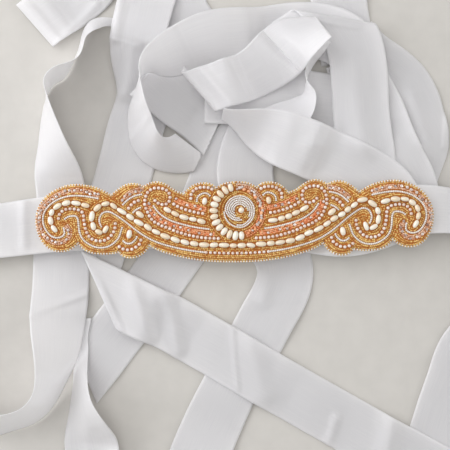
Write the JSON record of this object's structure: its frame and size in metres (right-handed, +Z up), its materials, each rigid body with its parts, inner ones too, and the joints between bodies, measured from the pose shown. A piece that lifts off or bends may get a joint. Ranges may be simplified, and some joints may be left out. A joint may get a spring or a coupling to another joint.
{
  "type": "bridal sash",
  "caption": "Ivory satin ribbon sash dropped in a loose heap, with a scalloped, pearl-beaded applique sewn across its middle.",
  "frame": {"origin": "middle of the bounding box, on the surface that the sash lies on", "axes": "+X along the applique and the waist ribbon, toward the right of the picture; +Y toward the top of the picture; +Z up, out of the surface"},
  "size_m": [0.6608, 0.6166, 0.0646],
  "materials": {
    "satin": "satin",
    "felt": "matte",
    "gold_beads": "gloss",
    "seed_pearl": "pearl",
    "rice_pearl": "pearl"
  },
  "bodies": {
    "root": {"ribbon_top_fold": "satin", "ribbon_top_back": "satin", "ribbon_heap_return": "satin", "ribbon_waist": "satin", "ribbon_left_drop": "satin", "ribbon_left_loop": "satin", "ribbon_left_cross": "satin", "ribbon_lower_turn": "satin", "ribbon_right_cross": "satin", "ribbon_right_loop": "satin", "ribbon_right_edge": "satin", "ribbon_right_inner": "satin", "ribbon_top_tail": "satin", "ribbon_top_arch": "satin", "ribbon_top_drop": "satin", "ribbon_diagonal": "satin", "ribbon_under_strip": "satin", "ribbon_mid_strip": "satin", "ribbon_heap_ring": "satin", "ribbon_heap_drop": "satin", "ribbon_heap_fold": "satin", "ribbon_heap_sweep": "satin", "applique_backing": "felt", "bead_bed": "gold_beads", "rosette_spiral": "seed_pearl", "pearls_lobe_left": "rice_pearl", "pearls_lobe_right": "rice_pearl", "pearls_swag": "rice_pearl", "pearls_tier_left": "rice_pearl", "pearls_tier_right": "rice_pearl", "pearls_rosette_ring": "rice_pearl", "pearl_rosette": "rice_pearl", "pearl_oval_low_left": "rice_pearl", "pearl_oval_low_right": "rice_pearl", "pearl_drop_left": "rice_pearl", "pearl_drop_right": "rice_pearl", "pearl_oval_top_left": "rice_pearl", "pearl_oval_top_right": "rice_pearl"}
  },
  "joints": []
}
